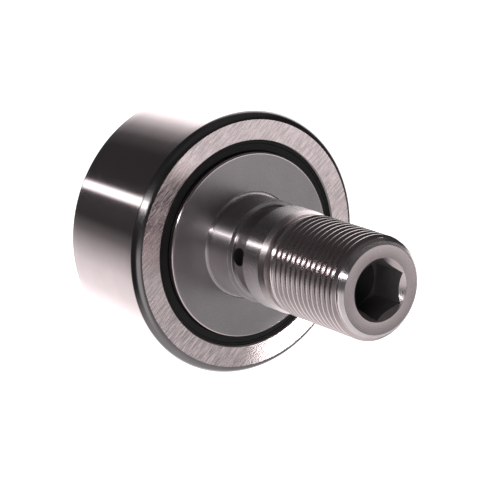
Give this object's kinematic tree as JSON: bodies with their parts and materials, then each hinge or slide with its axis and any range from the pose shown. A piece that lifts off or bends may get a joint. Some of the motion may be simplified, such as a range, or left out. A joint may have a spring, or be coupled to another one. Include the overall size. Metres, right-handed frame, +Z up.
{
  "type": "cam follower",
  "caption": "Stud type track roller with a crowned outer ring on full complement needle rollers, a sealed flanged stud, a grease groove and a threaded end with a hex socket.",
  "frame": {"origin": "on the stud's axis, at the thrust washer's outer face, which seats against the machine", "axes": "+Y along the stud's axis towards the threaded end, +Z up towards a corner of each hex socket, +X towards the grease hole in the shank"},
  "size_m": [0.052, 0.066, 0.052],
  "materials": {
    "ring_steel": "ground and polished bearing steel",
    "stud_steel": "ground shank, rolled thread",
    "washer_steel": "fine ground, matt",
    "roller_steel": "lapped bearing steel, lightly greased",
    "nipple_steel": "yellow passivated zinc plate",
    "spring_steel": "drawn spring wire",
    "seal_plastic": "matt black polymer"
  },
  "bodies": {
    "stud": {"roller_stud": "stud_steel", "thrust_washer": "washer_steel", "grease_nipple": "nipple_steel", "nipple_spring": "spring_steel"},
    "ring": {"outer_ring": "ring_steel", "seal_stud_side": "seal_plastic", "seal_flange_side": "seal_plastic"},
    "valve": {"nipple_ball": "roller_steel"},
    "roller_01": {"needle_01": "roller_steel"},
    "roller_02": {"needle_02": "roller_steel"},
    "roller_03": {"needle_03": "roller_steel"},
    "roller_04": {"needle_04": "roller_steel"},
    "roller_05": {"needle_05": "roller_steel"},
    "roller_06": {"needle_06": "roller_steel"},
    "roller_07": {"needle_07": "roller_steel"},
    "roller_08": {"needle_08": "roller_steel"},
    "roller_09": {"needle_09": "roller_steel"},
    "roller_10": {"needle_10": "roller_steel"},
    "roller_11": {"needle_11": "roller_steel"},
    "roller_12": {"needle_12": "roller_steel"},
    "roller_13": {"needle_13": "roller_steel"},
    "roller_14": {"needle_14": "roller_steel"},
    "roller_15": {"needle_15": "roller_steel"},
    "roller_16": {"needle_16": "roller_steel"},
    "roller_17": {"needle_17": "roller_steel"},
    "roller_18": {"needle_18": "roller_steel"},
    "roller_19": {"needle_19": "roller_steel"},
    "roller_20": {"needle_20": "roller_steel"},
    "roller_21": {"needle_21": "roller_steel"},
    "roller_22": {"needle_22": "roller_steel"},
    "roller_23": {"needle_23": "roller_steel"}
  },
  "joints": [
    {"name": "outer_ring_spin", "type": "hinge", "parent": "stud", "child": "ring", "pos_m": [0, -0.0128, 0], "axis": [0, 1, 0], "continuous": true},
    {"name": "needle_orbit", "type": "hinge", "parent": "stud", "child": "roller_01", "pos_m": [0, -0.0128, 0], "axis": [0, 1, 0], "continuous": true},
    {"name": "needle_02_spin", "type": "hinge", "parent": "roller_01", "child": "roller_02", "pos_m": [0.00406, -0.0128, 0.01448], "axis": [0, 1, 0], "continuous": true},
    {"name": "needle_03_spin", "type": "hinge", "parent": "roller_01", "child": "roller_03", "pos_m": [0.00781, -0.0128, 0.01285], "axis": [0, 1, 0], "continuous": true},
    {"name": "needle_04_spin", "type": "hinge", "parent": "roller_01", "child": "roller_04", "pos_m": [0.01099, -0.0128, 0.01027], "axis": [0, 1, 0], "continuous": true},
    {"name": "needle_05_spin", "type": "hinge", "parent": "roller_01", "child": "roller_05", "pos_m": [0.01335, -0.0128, 0.00692], "axis": [0, 1, 0], "continuous": true},
    {"name": "needle_06_spin", "type": "hinge", "parent": "roller_01", "child": "roller_06", "pos_m": [0.01473, -0.0128, 0.00306], "axis": [0, 1, 0], "continuous": true},
    {"name": "needle_07_spin", "type": "hinge", "parent": "roller_01", "child": "roller_07", "pos_m": [0.015, -0.0128, -0.00103], "axis": [0, 1, 0], "continuous": true},
    {"name": "needle_08_spin", "type": "hinge", "parent": "roller_01", "child": "roller_08", "pos_m": [0.01417, -0.0128, -0.00504], "axis": [0, 1, 0], "continuous": true},
    {"name": "needle_09_spin", "type": "hinge", "parent": "roller_01", "child": "roller_09", "pos_m": [0.01229, -0.0128, -0.00867], "axis": [0, 1, 0], "continuous": true},
    {"name": "needle_10_spin", "type": "hinge", "parent": "roller_01", "child": "roller_10", "pos_m": [0.00949, -0.0128, -0.01167], "axis": [0, 1, 0], "continuous": true},
    {"name": "needle_11_spin", "type": "hinge", "parent": "roller_01", "child": "roller_11", "pos_m": [0.00599, -0.0128, -0.01379], "axis": [0, 1, 0], "continuous": true},
    {"name": "needle_12_spin", "type": "hinge", "parent": "roller_01", "child": "roller_12", "pos_m": [0.00205, -0.0128, -0.0149], "axis": [0, 1, 0], "continuous": true},
    {"name": "needle_13_spin", "type": "hinge", "parent": "roller_01", "child": "roller_13", "pos_m": [-0.00205, -0.0128, -0.0149], "axis": [0, 1, 0], "continuous": true},
    {"name": "needle_14_spin", "type": "hinge", "parent": "roller_01", "child": "roller_14", "pos_m": [-0.00599, -0.0128, -0.01379], "axis": [0, 1, 0], "continuous": true},
    {"name": "needle_15_spin", "type": "hinge", "parent": "roller_01", "child": "roller_15", "pos_m": [-0.00949, -0.0128, -0.01167], "axis": [0, 1, 0], "continuous": true},
    {"name": "needle_16_spin", "type": "hinge", "parent": "roller_01", "child": "roller_16", "pos_m": [-0.01229, -0.0128, -0.00867], "axis": [0, 1, 0], "continuous": true},
    {"name": "needle_17_spin", "type": "hinge", "parent": "roller_01", "child": "roller_17", "pos_m": [-0.01417, -0.0128, -0.00504], "axis": [0, 1, 0], "continuous": true},
    {"name": "needle_18_spin", "type": "hinge", "parent": "roller_01", "child": "roller_18", "pos_m": [-0.015, -0.0128, -0.00103], "axis": [0, 1, 0], "continuous": true},
    {"name": "needle_19_spin", "type": "hinge", "parent": "roller_01", "child": "roller_19", "pos_m": [-0.01473, -0.0128, 0.00306], "axis": [0, 1, 0], "continuous": true},
    {"name": "needle_20_spin", "type": "hinge", "parent": "roller_01", "child": "roller_20", "pos_m": [-0.01335, -0.0128, 0.00692], "axis": [0, 1, 0], "continuous": true},
    {"name": "needle_21_spin", "type": "hinge", "parent": "roller_01", "child": "roller_21", "pos_m": [-0.01099, -0.0128, 0.01027], "axis": [0, 1, 0], "continuous": true},
    {"name": "needle_22_spin", "type": "hinge", "parent": "roller_01", "child": "roller_22", "pos_m": [-0.00781, -0.0128, 0.01285], "axis": [0, 1, 0], "continuous": true},
    {"name": "needle_23_spin", "type": "hinge", "parent": "roller_01", "child": "roller_23", "pos_m": [-0.00406, -0.0128, 0.01448], "axis": [0, 1, 0], "continuous": true},
    {"name": "valve_lift", "type": "slide", "parent": "stud", "child": "valve", "axis": [0, 1, 0], "range_m": [0, 0.0008], "stiffness_N_per_m": 200, "springref_m": -0.002, "deforming": ["nipple_spring"]}
  ],
  "couplings": [
    {"joint": "needle_orbit", "follows": "outer_ring_spin", "ratio": 0.56782},
    {"joint": "needle_02_spin", "follows": "outer_ring_spin", "ratio": 3.7022},
    {"joint": "needle_03_spin", "follows": "outer_ring_spin", "ratio": 3.7022},
    {"joint": "needle_04_spin", "follows": "outer_ring_spin", "ratio": 3.7022},
    {"joint": "needle_05_spin", "follows": "outer_ring_spin", "ratio": 3.7022},
    {"joint": "needle_06_spin", "follows": "outer_ring_spin", "ratio": 3.7022},
    {"joint": "needle_07_spin", "follows": "outer_ring_spin", "ratio": 3.7022},
    {"joint": "needle_08_spin", "follows": "outer_ring_spin", "ratio": 3.7022},
    {"joint": "needle_09_spin", "follows": "outer_ring_spin", "ratio": 3.7022},
    {"joint": "needle_10_spin", "follows": "outer_ring_spin", "ratio": 3.7022},
    {"joint": "needle_11_spin", "follows": "outer_ring_spin", "ratio": 3.7022},
    {"joint": "needle_12_spin", "follows": "outer_ring_spin", "ratio": 3.7022},
    {"joint": "needle_13_spin", "follows": "outer_ring_spin", "ratio": 3.7022},
    {"joint": "needle_14_spin", "follows": "outer_ring_spin", "ratio": 3.7022},
    {"joint": "needle_15_spin", "follows": "outer_ring_spin", "ratio": 3.7022},
    {"joint": "needle_16_spin", "follows": "outer_ring_spin", "ratio": 3.7022},
    {"joint": "needle_17_spin", "follows": "outer_ring_spin", "ratio": 3.7022},
    {"joint": "needle_18_spin", "follows": "outer_ring_spin", "ratio": 3.7022},
    {"joint": "needle_19_spin", "follows": "outer_ring_spin", "ratio": 3.7022},
    {"joint": "needle_20_spin", "follows": "outer_ring_spin", "ratio": 3.7022},
    {"joint": "needle_21_spin", "follows": "outer_ring_spin", "ratio": 3.7022},
    {"joint": "needle_22_spin", "follows": "outer_ring_spin", "ratio": 3.7022},
    {"joint": "needle_23_spin", "follows": "outer_ring_spin", "ratio": 3.7022}
  ]
}
